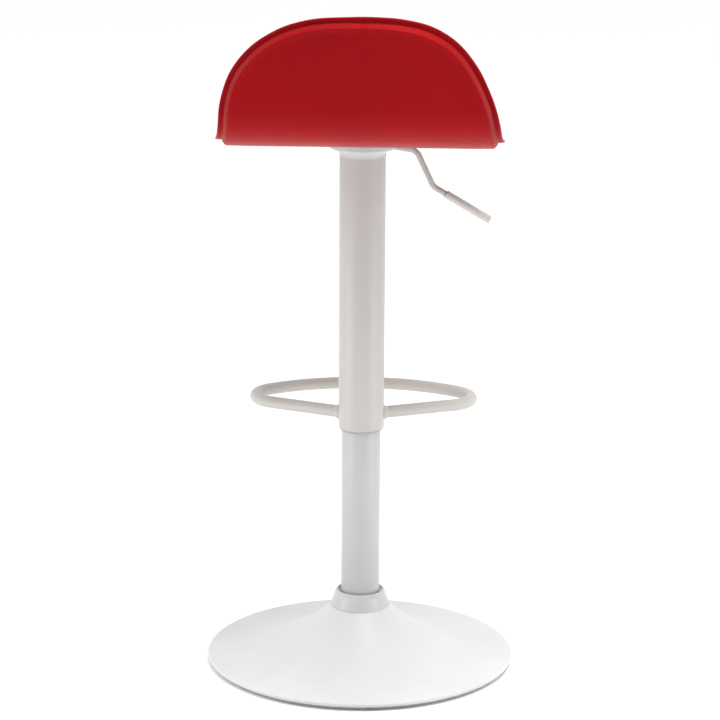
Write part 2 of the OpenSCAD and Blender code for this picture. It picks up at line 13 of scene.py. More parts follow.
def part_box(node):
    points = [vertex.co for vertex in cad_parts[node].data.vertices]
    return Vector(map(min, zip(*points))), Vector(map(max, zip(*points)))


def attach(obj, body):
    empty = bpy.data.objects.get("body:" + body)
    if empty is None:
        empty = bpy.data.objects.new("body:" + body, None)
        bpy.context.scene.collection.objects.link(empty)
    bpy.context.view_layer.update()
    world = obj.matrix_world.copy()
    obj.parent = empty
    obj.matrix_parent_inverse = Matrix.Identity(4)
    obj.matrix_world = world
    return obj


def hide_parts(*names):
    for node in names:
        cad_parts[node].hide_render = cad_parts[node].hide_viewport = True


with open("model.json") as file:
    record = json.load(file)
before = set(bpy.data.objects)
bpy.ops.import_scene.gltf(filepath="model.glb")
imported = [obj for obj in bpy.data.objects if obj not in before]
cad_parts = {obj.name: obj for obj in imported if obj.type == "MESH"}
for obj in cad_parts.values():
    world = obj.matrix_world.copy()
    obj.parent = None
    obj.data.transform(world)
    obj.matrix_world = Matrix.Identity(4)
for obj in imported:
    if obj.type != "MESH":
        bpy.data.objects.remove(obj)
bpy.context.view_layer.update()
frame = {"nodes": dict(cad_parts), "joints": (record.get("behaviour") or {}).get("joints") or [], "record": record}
MM = 0.001
RNG = random.Random(7)

# ---------------------------------------------------------------- materials


def new_material(name):
    """A node material: returns it with its tree, its Principled shader and the object coordinates."""
    mat = bpy.data.materials.new(name)
    mat.use_nodes = True
    tree = mat.node_tree
    shader = tree.nodes["Principled BSDF"]
    coords = tree.nodes.new("ShaderNodeTexCoord")
    return mat, tree, shader, coords.outputs["Object"]


def noise_node(tree, coords, scale, detail=4.0, roughness=0.55, distortion=0.0):
    """A noise texture's factor."""
    node = tree.nodes.new("ShaderNodeTexNoise")
    node.inputs["Scale"].default_value = scale
    node.inputs["Detail"].default_value = detail
    node.inputs["Roughness"].default_value = roughness
    node.inputs["Distortion"].default_value = distortion
    tree.links.new(coords, node.inputs["Vector"])
    return node.outputs["Fac"]


def ramp_node(tree, fac, stops):
    """A colour ramp. stops is a list of (place, (r, g, b))."""
    node = tree.nodes.new("ShaderNodeValToRGB")
    elements = node.color_ramp.elements
    while len(elements) < len(stops):
        elements.new(0.5)
    for element, (place, colour) in zip(elements, stops):
        element.position = place
        element.color = (*colour, 1.0)
    tree.links.new(fac, node.inputs["Fac"])
    return node.outputs["Color"]


def range_node(tree, value, low, high, from_low=0.0, from_high=1.0):
    """A value moved to the range from low to high."""
    node = tree.nodes.new("ShaderNodeMapRange")
    node.inputs["From Min"].default_value = from_low
    node.inputs["From Max"].default_value = from_high
    node.inputs["To Min"].default_value = low
    node.inputs["To Max"].default_value = high
    tree.links.new(value, node.inputs["Value"])
    return node.outputs["Result"]


def bump_node(tree, height, strength, distance, below=None):
    """A bump over another normal, if one is given."""
    node = tree.nodes.new("ShaderNodeBump")
    node.inputs["Strength"].default_value = strength
    node.inputs["Distance"].default_value = distance
    tree.links.new(height, node.inputs["Height"])
    if below is not None:
        tree.links.new(below, node.inputs["Normal"])
    return node.outputs["Normal"]


def stretched(tree, coords, scale):
    """Coordinates with a scale of their own along each axis."""
    node = tree.nodes.new("ShaderNodeMapping")
    node.inputs["Scale"].default_value = scale
    tree.links.new(coords, node.inputs["Vector"])
    return node.outputs["Vector"]


def shade(colour, factor):
    """A lighter or darker colour."""
    return tuple(min(1.0, c * factor) for c in colour)


def mottled(tree, fac, colour, variation, low=0.3):
    """A colour that a noise makes a little darker and lighter. low is the ramp's dark stop."""
    stops = [(low, shade(colour, 1 - variation)), (1 - low, shade(colour, 1 + variation))]
    return ramp_node(tree, fac, stops)


def wire(tree, shader, colour, normal, rough):
    """Links colour, normal and roughness to a shader."""
    tree.links.new(colour, shader.inputs["Base Color"])
    tree.links.new(normal, shader.inputs["Normal"])
    tree.links.new(rough, shader.inputs["Roughness"])


def painted_metal(name, colour, rough, variation=0.025):
    """Powder coat: fine orange peel over longer waves, and faint cloudiness."""
    grain, depth = 2600.0, 0.00006
    mat, tree, shader, coords = new_material(name)
    colour_out = mottled(tree, noise_node(tree, coords, 14.0, detail=3.0), colour, variation)
    peel = noise_node(tree, coords, grain, detail=2.0, roughness=0.5)
    waves = noise_node(tree, coords, grain * 0.12, detail=1.0)
    normal = bump_node(tree, waves, 0.25, depth * 2.0)
    normal = bump_node(tree, peel, 0.6, depth, normal)
    wire(tree, shader, colour_out, normal, range_node(tree, peel, rough - 0.05, rough + 0.07))
    shader.inputs["Specular IOR Level"].default_value = 0.45
    return mat


def moulded_plastic(name, colour, rough, variation=0.03):
    """Moulded plastic with a fine spark-eroded texture."""
    mat, tree, shader, coords = new_material(name)
    cloud = noise_node(tree, coords, 60.0, detail=5.0)
    colour_out = mottled(tree, cloud, colour, variation, 0.32)
    normal = bump_node(tree, noise_node(tree, coords, 1500.0, detail=3.0, roughness=0.6), 0.5, 0.00008)
    wire(tree, shader, colour_out, normal, range_node(tree, cloud, rough - 0.06, rough + 0.06))
    return mat


def rubber(name, colour):
    """Matt rubber with a trace of dust."""
    mat, tree, shader, coords = new_material(name)
    dust = noise_node(tree, coords, 90.0, detail=6.0, roughness=0.7)
    colour_out = ramp_node(tree, dust, [(0.35, colour), (0.75, shade(colour, 1.6))])
    normal = bump_node(tree, noise_node(tree, coords, 1100.0, detail=2.0), 0.4, 0.0001)
    wire(tree, shader, colour_out, normal, range_node(tree, dust, 0.62, 0.85))
    shader.inputs["Specular IOR Level"].default_value = 0.3
    return mat


def bare_metal(name, colour, rough, scratch=(40.0, 40.0, 1400.0), metallic=1.0):
    """Turned or drawn metal: fine lines round it, and faint stains."""
    mat, tree, shader, coords = new_material(name)
    lines = noise_node(tree, stretched(tree, coords, scratch), 1.0, detail=3.0, roughness=0.6)
    colour_out = mottled(tree, noise_node(tree, coords, 45.0, detail=5.0), colour, 0.12)
    normal = bump_node(tree, lines, 0.3, 0.00004)
    wire(tree, shader, colour_out, normal, range_node(tree, lines, rough - 0.08, rough + 0.1))
    shader.inputs["Metallic"].default_value = metallic
    return mat


def faux_leather(name, colour, rough=0.44, crease=0.30):
    """Coated fabric: pebble grain with fine pores, cloudy dye and a soft waxy sheen."""
    mat, tree, shader, coords = new_material(name)
    warp = tree.nodes.new("ShaderNodeTexNoise")
    warp.inputs["Scale"].default_value = 260.0
    warp.inputs["Detail"].default_value = 2.0
    tree.links.new(coords, warp.inputs["Vector"])
    offset = tree.nodes.new("ShaderNodeVectorMath")
    offset.operation = "MULTIPLY_ADD"
    offset.inputs[1].default_value = (0.0016, 0.0016, 0.0016)
    tree.links.new(warp.outputs["Color"], offset.inputs[0])
    tree.links.new(coords, offset.inputs[2])
    cells = tree.nodes.new("ShaderNodeTexVoronoi")
    cells.feature = "DISTANCE_TO_EDGE"
    cells.inputs["Scale"].default_value = 780.0
    tree.links.new(offset.outputs["Vector"], cells.inputs["Vector"])
    pebbles = range_node(tree, cells.outputs["Distance"], 0.0, 1.0, 0.0, 0.32)
    pores = noise_node(tree, coords, 4200.0, detail=2.0)
    folds = noise_node(tree, coords, 75.0, detail=4.0, roughness=0.6, distortion=0.6)
    clouds = noise_node(tree, coords, 9.0, detail=4.0)
    base = ramp_node(tree, clouds, [(0.28, shade(colour, 0.90)), (0.72, shade(colour, 1.08))])
    # The grooves between the pebbles are darkened: painted shade in the grain's recesses.
    groove = ramp_node(tree, pebbles, [(0.0, (0.72, 0.72, 0.72)), (0.45, (1.0, 1.0, 1.0))])
    mix = tree.nodes.new("ShaderNodeMix")
    mix.data_type = "RGBA"
    mix.blend_type = "MULTIPLY"
    mix.inputs["Factor"].default_value = 1.0
    tree.links.new(base, mix.inputs["A"])
    tree.links.new(groove, mix.inputs["B"])
    normal = bump_node(tree, folds, crease, 0.0005)
    normal = bump_node(tree, pebbles, 0.55, 0.00012, normal)
    normal = bump_node(tree, pores, 0.25, 0.00004, normal)
    roughness = range_node(tree, pebbles, rough + 0.12, rough - 0.02)
    wire(tree, shader, mix.outputs["Result"], normal, roughness)
    shader.inputs["Specular IOR Level"].default_value = 0.03
    shader.inputs["Sheen Weight"].default_value = 0.29
    shader.inputs["Sheen Roughness"].default_value = 0.445
    shader.inputs["Sheen Tint"].default_value = (1.0, 0.72, 0.68, 1.0)
    return mat


def sewing_thread(name, colour):
    """Twisted polyester thread."""
    mat, tree, shader, coords = new_material(name)
    twist = tree.nodes.new("ShaderNodeTexWave")
    twist.wave_type = "BANDS"
    twist.bands_direction = "DIAGONAL"
    twist.inputs["Scale"].default_value = 900.0
    twist.inputs["Distortion"].default_value = 1.0
    tree.links.new(coords, twist.inputs["Vector"])
    strands = twist.outputs["Fac"]
    # The twist's low bands are darkened and its high bands lightened: painted shade and painted highlight along
    # the twist.
    colour_out = ramp_node(tree, strands, [(0.2, shade(colour, 0.75)), (0.8, shade(colour, 1.2))])
    normal = bump_node(tree, strands, 0.5, 0.0001)
    wire(tree, shader, colour_out, normal, range_node(tree, strands, 0.6, 0.8))
    shader.inputs["Specular IOR Level"].default_value = 0.08
    return mat


def plywood(name):
    """Plywood: grain drawn out along the board and its layers."""
    mat, tree, shader, coords = new_material(name)
    grain = noise_node(tree, stretched(tree, coords, (18.0, 3.0, 650.0)), 1.0, detail=6.0, roughness=0.6)
    colour_out = ramp_node(tree, grain, [(0.3, (0.36, 0.22, 0.11)), (0.7, (0.62, 0.44, 0.25))])
    wire(tree, shader, colour_out, bump_node(tree, grain, 0.4, 0.0002), range_node(tree, grain, 0.6, 0.8))
    return mat


def open_foam(name):
    """Yellowed upholstery foam with open cells."""
    mat, tree, shader, coords = new_material(name)
    voronoi = tree.nodes.new("ShaderNodeTexVoronoi")
    voronoi.inputs["Scale"].default_value = 900.0
    tree.links.new(coords, voronoi.inputs["Vector"])
    cells = voronoi.outputs["Distance"]
    # The pits of the cells are darker than the webs between them: painted shade in the open pores.
    colour_out = ramp_node(tree, cells, [(0.1, (0.62, 0.56, 0.36)), (0.6, (0.80, 0.76, 0.58))])
    wire(tree, shader, colour_out, bump_node(tree, cells, 0.8, 0.0004), range_node(tree, cells, 0.8, 0.95))
    return mat


RED = (0.305, 0.0010, 0.0034)
DARK_RED = (0.20, 0.003, 0.006)
MATERIALS = {
    "paint_white": painted_metal("paint_white", (0.54, 0.54, 0.542), rough=0.40),
    "paint_column": painted_metal("paint_column", (0.43, 0.43, 0.431), rough=0.42),
    "paint_cover": painted_metal("paint_cover", (0.445, 0.423, 0.402), rough=0.44),
    "paint_black": painted_metal("paint_black", (0.02, 0.02, 0.022), rough=0.4, variation=0.2),
    "plastic_white": moulded_plastic("plastic_white", (0.45, 0.453, 0.454), rough=0.42),
    # plastic_greige is made dark as painted shade: on the slide ring it stands for the shadow under the cover
    # tube's mouth
    "plastic_greige": moulded_plastic("plastic_greige", (0.31, 0.305, 0.30), rough=0.5),
    "grip_plastic": moulded_plastic("grip_plastic", (0.50, 0.48, 0.46), rough=0.42),
    "plastic_black": moulded_plastic("plastic_black", (0.02, 0.02, 0.022), rough=0.55, variation=0.2),
    "rubber_black": rubber("rubber_black", (0.025, 0.025, 0.027)),
    "rubber_grey": rubber("rubber_grey", (0.28, 0.28, 0.275)),
    "cast_ballast": bare_metal("cast_ballast", (0.10, 0.10, 0.105), 0.7, (500.0, 500.0, 500.0), 0.6),
    "steel_plain": bare_metal("steel_plain", (0.50, 0.51, 0.52), 0.38),
    "steel_bright": bare_metal("steel_bright", (0.62, 0.63, 0.65), 0.2),
    "brass": bare_metal("brass", (0.62, 0.44, 0.16), 0.3),
    "plywood": plywood("plywood"),
    "foam": open_foam("foam"),
    "leather_red": faux_leather("leather_red", RED),
    "thread": sewing_thread("thread", DARK_RED),
}


def dress_cad_nodes():
    """Gives every CAD node the material of its slot."""
    slots = {s["node"]: s["material_slot"] for s in frame["record"]["subparts"]}
    for name, obj in frame["nodes"].items():
        obj.data.materials.clear()
        obj.data.materials.append(MATERIALS[slots[name]])


# ---------------------------------------------------------------- mesh helpers


def mesh_from(bm, name):
    """Turns a bmesh into a mesh and frees it."""
    mesh = bpy.data.meshes.new(name)
    bm.to_mesh(mesh)
    bm.free()
    return mesh


def add_object(name, data):
    """A new object in the scene."""
    obj = bpy.data.objects.new(name, data)
    bpy.context.scene.collection.objects.link(obj)
    return obj


def finish_mesh(name, bm, slot, body, sharp_deg=32.0, replaces=(), material=None):
    """Turns a bmesh into a piece: smooth faces, sharp edges, the material of its slot or the one given, and its
    body.
    """
    bmesh.ops.remove_doubles(bm, verts=bm.verts, dist=1e-7)
    bmesh.ops.recalc_face_normals(bm, faces=bm.faces)
    limit = math.radians(sharp_deg)
    for face in bm.faces:
        face.smooth = True
    for edge in bm.edges:
        if len(edge.link_faces) == 2 and edge.calc_face_angle(0.0) > limit:
            edge.smooth = False
    mesh = mesh_from(bm, name)
    piece = add_object(name, mesh)
    mesh.materials.append(MATERIALS[material or slot])
    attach(piece, body)
    if replaces:
        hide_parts(*replaces)
    return piece


def evaluated_mesh(obj):
    """The mesh of an object with its modifiers worked out, at the scene's present frame."""
    graph = bpy.context.evaluated_depsgraph_get()
    graph.update()
    return bpy.data.meshes.new_from_object(obj.evaluated_get(graph), depsgraph=graph)


def grid_faces(bm, rows, closed_across, closed_along):
    """Quads between rows of vertices."""
    count = len(rows)
    for i in range(count if closed_along else count - 1):
        a, b = rows[i], rows[(i + 1) % count]
        n = len(a)
        for j in range(n if closed_across else n - 1):
            k = (j + 1) % n
            quad = [a[j], a[k], b[k], b[j]]
            unique = list(dict.fromkeys(quad))
            if len(unique) > 2:
                bm.faces.new(unique)


def spin(profile, segments):
    """A closed solid of revolution about Z. profile is a closed loop of (radius, z)."""
    bm = bmesh.new()
    rows = []
    for i in range(segments):
        a = 2 * math.pi * i / segments
        rows.append([bm.verts.new((r * math.cos(a), r * math.sin(a), z)) for r, z in profile])
    grid_faces(bm, rows, closed_across=True, closed_along=True)
    return bm


def round_corner(centre, radius, a0, a1, steps):
    """Points of an arc, as (x, y), from angle a0 to a1 in degrees."""
    turns = [math.radians(a0 + (a1 - a0) * i / steps) for i in range(steps + 1)]
    return [(centre[0] + radius * math.cos(a), centre[1] + radius * math.sin(a)) for a in turns]


def on_circle(centre, radius, angle):
    """A point on a circle in a plane."""
    return centre + radius * np.array((math.cos(angle), math.sin(angle)))


def sweep(points, radii, sides, up=(0.0, 0.0, 1.0)):
    """A round bar along a path that stays in one plane with normal up. Ends are closed."""
    bm = bmesh.new()
    up = Vector(up).normalized()
    rows = []
    count = len(points)
    for i, p in enumerate(points):
        before, after = points[max(i - 1, 0)], points[min(i + 1, count - 1)]
        along = (Vector(after) - Vector(before)).normalized()
        side = along.cross(up).normalized()
        row = []
        for j in range(sides):
            a = 2 * math.pi * j / sides
            row.append(bm.verts.new(Vector(p) + radii[i] * (math.cos(a) * side + math.sin(a) * up)))
        rows.append(row)
    grid_faces(bm, rows, closed_across=True, closed_along=False)
    bm.faces.new(rows[0])
    bm.faces.new(rows[-1])
    return bm


# ---------------------------------------------------------------- camera and stage

CAMERA_YAW = math.radians(2.1)
CAMERA_DISTANCE = 4.0
CAMERA_HEIGHT = 1.4922
CAMERA_PITCH = 0.263414
CAMERA_ROLL = 0.0060
CAMERA_PAN = -0.00050
CAMERA_LENS = 157.64
SENSOR = 36.0


def make_camera():
    """A long lens behind the stool, at the height of a standing person's eye, looking a little down."""
    forward = Vector(
        (
            math.sin(CAMERA_PAN) * math.cos(CAMERA_PITCH),
            math.cos(CAMERA_PAN) * math.cos(CAMERA_PITCH),
            -math.sin(CAMERA_PITCH),
        )
    )
    right = Vector((math.cos(CAMERA_PAN), -math.sin(CAMERA_PAN), 0.0))
    up = right.cross(forward)
    cos_r, sin_r = math.cos(CAMERA_ROLL), math.sin(CAMERA_ROLL)
    right, up = cos_r * right + sin_r * up, -sin_r * right + cos_r * up
    turn = Matrix(
        (
            (right.x, up.x, -forward.x, 0.0),
            (right.y, up.y, -forward.y, -CAMERA_DISTANCE),
            (right.z, up.z, -forward.z, CAMERA_HEIGHT),
            (0.0, 0.0, 0.0, 1.0),
        )
    )
    data = bpy.data.cameras.new("camera")
    data.sensor_width = SENSOR
    data.lens = CAMERA_LENS
    data.clip_end = 60.0
    camera = add_object("camera", data)
    camera.matrix_world = Matrix.Rotation(CAMERA_YAW, 4, "Z") @ turn
    bpy.context.scene.camera = camera


FLOOR_HALF = 14.0


def make_floor():
    """A large, plain, pale floor."""
    bm = bmesh.new()
    bmesh.ops.create_grid(bm, x_segments=2, y_segments=2, size=FLOOR_HALF)
    mesh = mesh_from(bm, "floor")
    floor = add_object("floor", mesh)
    mat, tree, shader, coords = new_material("floor_paint")
    cloud = noise_node(tree, coords, 0.8, detail=2.0)
    colour_out = ramp_node(tree, cloud, [(0.3, (0.90, 0.90, 0.90)), (0.7, (0.92, 0.92, 0.92))])
    tree.links.new(colour_out, shader.inputs["Base Color"])
    shader.inputs["Roughness"].default_value = 0.9
    shader.inputs["Specular IOR Level"].default_value = 0.1
    mesh.materials.append(mat)


def area_light(name, place, target, size, power):
    """A square lamp that lights the stool and stays out of the picture itself."""
    data = bpy.data.lights.new(name, "AREA")
    data.energy = power
    data.size = size
    light = add_object(name, data)
    light.location = place
    light.rotation_euler = (Vector(target) - Vector(place)).to_track_quat("-Z", "Y").to_euler()
    light.visible_camera = False


WORLD_DIM = 0.12
WORLD_BRIGHT = 1.2
BRIGHT_SIDE = (-0.10, 0.70, 0.70)


def make_world():
    """A white surround, bright above and in front of the stool and dimmer below and behind it."""
    world = bpy.data.worlds.new("studio")
    bpy.context.scene.world = world
    world.use_nodes = True
    tree = world.node_tree
    background = tree.nodes["Background"]
    coords = tree.nodes.new("ShaderNodeTexCoord")
    facing = tree.nodes.new("ShaderNodeVectorMath")
    facing.operation = "DOT_PRODUCT"
    facing.inputs[1].default_value = BRIGHT_SIDE
    tree.links.new(coords.outputs["Generated"], facing.inputs[0])
    strength = range_node(tree, facing.outputs["Value"], WORLD_DIM, WORLD_BRIGHT, -0.75, 0.45)
    tree.links.new(strength, background.inputs["Strength"])
    background.inputs["Color"].default_value = (1.0, 1.0, 1.0, 1.0)


def make_lights():
    """Soft studio light: the surround, a large lamp overhead, weaker ones at the sides and low down."""
    make_world()
    area_light("overhead", (0.55, -0.5, 3.2), (0.0, 0.0, 0.6), 1.4, 54.0)
    area_light("side", (-3.0, -0.6, 1.7), (0.0, 0.0, 0.7), 1.4, 10.0)
    area_light("rim", (2.6, 1.4, 1.4), (0.0, 0.0, 0.5), 1.2, 4.5)
    area_light("crown", (0.22, -0.25, 1.34), (0.06, -0.20, 0.86), 0.3, 1.7)
    area_light("low_left", (-0.66, -0.34, 0.22), (0.0, -0.12, 0.72), 0.3, 2.05)
    area_light("low_right", (0.66, -0.34, 0.22), (0.0, -0.12, 0.72), 0.3, 1.95)
    view = bpy.context.scene.view_settings
    view.view_transform = "Standard"
    view.look = "None"


# ---------------------------------------------------------------- base and column


def ring_profile(r_in, r_out, z0, z1, edge):
    """Closed (radius, z) loop of a ring whose outer edges are rounded."""
    lower = round_corner((r_out - edge, z0 + edge), edge, -90, 0, 4)
    upper = round_corner((r_out - edge, z1 - edge), edge, 0, 90, 4)
    return [(r_in, z0), *lower, *upper, (r_in, z1)]


def make_base_dish():
    """The pressed dish: a trumpet curve up to the neck, and a rolled rim."""
    lo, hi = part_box("base_shell")
    rim_r, rim_low, neck_z = hi.x, lo.z, hi.z
    wall, hem = 2.0 * MM, 2.2 * MM
    neck_r, neck_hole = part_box("base_collar")[1].x, 31.8 * MM
    rim_top = rim_low + 5.0 * MM
    curve, steps = 2.4, 72

    def height(r):
        return rim_top + (neck_z - rim_top) * ((rim_r - r) / (rim_r - neck_r)) ** curve

    radii = [rim_r - wall - (rim_r - wall - neck_r) * i / steps for i in range(steps + 1)]
    upper = [(r, height(r)) for r in radii]
    lower = [(r, height(r) - wall) for r in reversed(radii)]
    rolled = round_corner((rim_r - hem, rim_low + hem), hem, -90, 0, 6)
    rolled += round_corner((rim_r - hem, rim_top - hem + 0.2 * MM), hem, 0, 80, 6)
    profile = [(rim_r - 2 * hem, rim_low), *rolled, *upper]
    profile += [(neck_hole, neck_z), (neck_hole, neck_z - wall), *lower]
    finish_mesh("base_dish", spin(profile, 192), "paint_white", "base", replaces=["base_shell"])


def make_rubber_ring():
    """The ring under the rim, with three grooves in its foot and a lip that holds the bottom cover."""
    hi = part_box("floor_ring")[1]
    rim_r, rim_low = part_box("base_shell")[1].x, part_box("base_shell")[0].z
    foot_r, ring_in = rim_r - 6.0 * MM, rim_r - 14.0 * MM
    shoulder_z, lip_z, lip = rim_low + 0.3 * MM, 3.7 * MM, 1.5 * MM
    tread, groove_pitch = 0.6 * MM, 1.9 * MM
    profile = [(ring_in, 1.0 * MM), (ring_in + MM, 0.0)]
    for groove in range(3):
        r = ring_in + 1.6 * MM + groove_pitch * groove
        profile += [(r, 0.0), (r + 0.2 * MM, tread), (r + 0.6 * MM, tread), (r + 0.8 * MM, 0.0)]
    profile += round_corner((foot_r - MM, MM), MM, -90, 0, 4)
    profile += [(foot_r, shoulder_z), (hi.x, shoulder_z), (hi.x, hi.z), (ring_in, hi.z)]
    profile += [(ring_in, lip_z + lip), (ring_in - lip, lip_z + lip)]
    profile += [(ring_in - lip, lip_z), (ring_in, lip_z)]
    finish_mesh("rubber_ring", spin(profile, 160), "rubber_grey", "base", replaces=["floor_ring"])


def make_collar():
    """The plastic cone at the column's foot: rolled foot, a lip over a groove, a shelf by the tube."""
    lo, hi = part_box("base_collar")
    tube_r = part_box("lower_tube")[1].x
    foot_r, foot_z, top_z = hi.x + 1.2 * MM, lo.z - 1.1 * MM, hi.z
    top_r, lip_in = 32.0 * MM, 28.9 * MM
    groove_z, groove = top_z - 3.3 * MM, 0.4 * MM
    shelf_z = top_z - 2.3 * MM

    def cone(z, inset=0.0):
        return (top_r + (foot_r - top_r) * (top_z - z) / (top_z - foot_z) - inset, z)

    foot = round_corner((foot_r - 1.2 * MM, foot_z + 1.2 * MM), 1.2 * MM, -90, 30, 5)
    lip = round_corner((top_r - 1.1 * MM, top_z - 1.2 * MM), 1.2 * MM, 20, 90, 6)
    inner = round_corner((lip_in + 0.9 * MM, top_z - 0.9 * MM), 0.9 * MM, 90, 180, 4)
    profile = [(foot_r - 4.0 * MM, foot_z), *foot]
    profile += [cone(groove_z - groove), cone(groove_z, groove), cone(groove_z + groove)]
    profile += [*lip, *inner, (lip_in, shelf_z), (tube_r + 0.3 * MM, shelf_z - 0.4 * MM)]
    profile += [(tube_r + 0.3 * MM, shelf_z - 3.0 * MM), (lip_in, foot_z + 8.0 * MM)]
    finish_mesh("foot_collar", spin(profile, 128), "plastic_white", "base", replaces=["base_collar"])


TUBE_WALL = 1.5 * MM


def make_tubes():
    """The fixed lower tube, and the cover tube with its eased mouth."""
    lo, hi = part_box("lower_tube")
    profile = ring_profile(hi.x - TUBE_WALL, hi.x, lo.z, hi.z, 0.4 * MM)
    finish_mesh("inner_column", spin(profile, 128), "paint_column", "base", replaces=["lower_tube"])

    lo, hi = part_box("cover_tube")
    edge = 1.0 * MM
    mouth = round_corner((hi.x - edge, lo.z + edge), edge, -90, 0, 6)
    profile = [(hi.x - TUBE_WALL, lo.z), *mouth, (hi.x, hi.z), (hi.x - TUBE_WALL, hi.z)]
    finish_mesh("outer_column", spin(profile, 128), "paint_cover", "carriage", replaces=["cover_tube"])


def make_flared_collar():
    """The collar under the seat: it flares from the tube to an upright rim with a round bead."""
    lo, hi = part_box("top_collar")
    tube_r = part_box("cover_tube")[1].x
    rim_r, z0, z1 = hi.x, lo.z, hi.z
    flare = 11.0 * MM
    skin, lip = 2.0 * MM, 2.4 * MM
    centre = (tube_r + flare, z0)
    outer = round_corner(centre, flare, 180, 90, 16)
    outer += round_corner((rim_r - lip, z0 + flare + lip), lip, -90, 0, 8)
    bead = round_corner((rim_r - skin / 2, z1 - skin / 2), skin / 2, 0, 180, 8)
    inner = [(rim_r - skin, z0 + flare + skin + MM), (rim_r - skin - MM, z0 + flare + skin)]
    inner += round_corner(centre, flare + skin, 90, 180, 16)
    bm = spin([*outer, *bead, *inner], 160)
    collar = finish_mesh("flared_collar", bm, "plastic_white", "carriage", replaces=["top_collar"])
    cut_lever_notch(collar)


LEVER_PIVOT = next(joint["pos_m"] for joint in frame["joints"] if joint["name"] == "lever_pull")
NOTCH_SIZE = Vector((60.0, 18.0, 40.0)) * MM


def cut_lever_notch(collar):
    """Cut the opening in the flared collar's side that the lever's rod comes out of."""
    near_x, low_z = LEVER_PIVOT[0] - 8.0 * MM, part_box("cover_tube")[1].z + 2.0 * MM
    middle = Vector((near_x + NOTCH_SIZE.x / 2, 0.0, low_z + NOTCH_SIZE.z / 2))
    bm = bmesh.new()
    block = Matrix.Translation(middle) @ Matrix.Diagonal((*NOTCH_SIZE, 1.0))
    bmesh.ops.create_cube(bm, size=1.0, matrix=block)
    cutter = add_object("notch_cutter", mesh_from(bm, "notch_cutter"))
    cut = collar.modifiers.new("notch", "BOOLEAN")
    cut.operation = "DIFFERENCE"
    cut.solver = "EXACT"
    cut.object = cutter
    notched = evaluated_mesh(collar)
    collar.modifiers.clear()
    collar.data = notched
    bpy.data.objects.remove(cutter)


def make_slide_ring():
    """The plastic ring in the cover tube's mouth that slides on the lower tube."""
    lo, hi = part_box("cover_slide_ring")
    tube_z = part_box("cover_tube")[0].z
    r_in = 25.6 * MM
    r_wall = 28.4 * MM
    nose_r, chamfer = 0.7 * MM, 0.6 * MM
    nose = round_corner((r_in + chamfer + nose_r, lo.z + nose_r), nose_r, -90, -45, 3)
    profile = [
        (r_in + chamfer, lo.z),
        *nose,
        (hi.x - 0.2 * MM, tube_z - 1.0 * MM),
        (hi.x, tube_z - 0.7 * MM),
        (hi.x, tube_z - 0.05 * MM),
        (r_wall, tube_z - 0.05 * MM),
        (r_wall, hi.z),
        (r_in, hi.z),
        (r_in, lo.z + chamfer),
    ]
    # The ring's dark plastic_greige colour is painted shade: it stands for the shadow under the cover tube's
    # mouth.
    bm = spin(profile, 128)
    finish_mesh("slide_ring", bm, "plastic_greige", "carriage", replaces=["cover_slide_ring"])


# ---------------------------------------------------------------- footrest

FOOT_ANGLE = math.radians(23.0)
FOOT_START = np.array((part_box("cover_tube")[1].x, 5.0 * MM))


def footrest_path(bar_r):
    """Centreline of the footrest from the tube on the right, round the bow, to the tube on the left."""
    lo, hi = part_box("footrest_ring")
    z = (lo.z + hi.z) / 2
    corner_r, bow_r = 37.0 * MM, 225.0 * MM
    root = 1.6 * MM
    direction = on_circle(np.zeros(2), 1.0, FOOT_ANGLE)
    normal = np.array((-direction[1], direction[0]))
    bow_centre = np.array((0.0, hi.y - bar_r - bow_r))
    to_start = FOOT_START + corner_r * normal - bow_centre
    dot = float(to_start @ direction)
    side = -dot + math.sqrt(dot * dot - float(to_start @ to_start) + (bow_r - corner_r) ** 2)
    corner = FOOT_START + side * direction + corner_r * normal
    bow_angle = math.atan2(corner[1] - bow_centre[1], corner[0])
    right = [FOOT_START + direction * (side * i / 10 - (root if i == 0 else 0.0)) for i in range(10)]
    bend = np.linspace(FOOT_ANGLE - math.pi / 2, bow_angle, 20)[:-1]
    right += [on_circle(corner, corner_r, a) for a in bend]
    right += [on_circle(bow_centre, bow_r, a) for a in np.linspace(bow_angle, math.pi / 2, 40)]
    left = [np.array((-p[0], p[1])) for p in reversed(right[:-1])]
    return [(float(p[0]), float(p[1]), z) for p in right + left]


def make_footrest():
    """The footrest loop: a round bar with both ends on the cover tube."""
    lo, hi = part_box("footrest_ring")
    bar_r = (hi.z - lo.z) / 2
    points = footrest_path(bar_r)
    bm = sweep(points, [bar_r] * len(points), sides=40)
    finish_mesh("foot_loop", bm, "paint_cover", "carriage", replaces=["footrest_ring"])
    make_welds(bar_r, points[0][2])


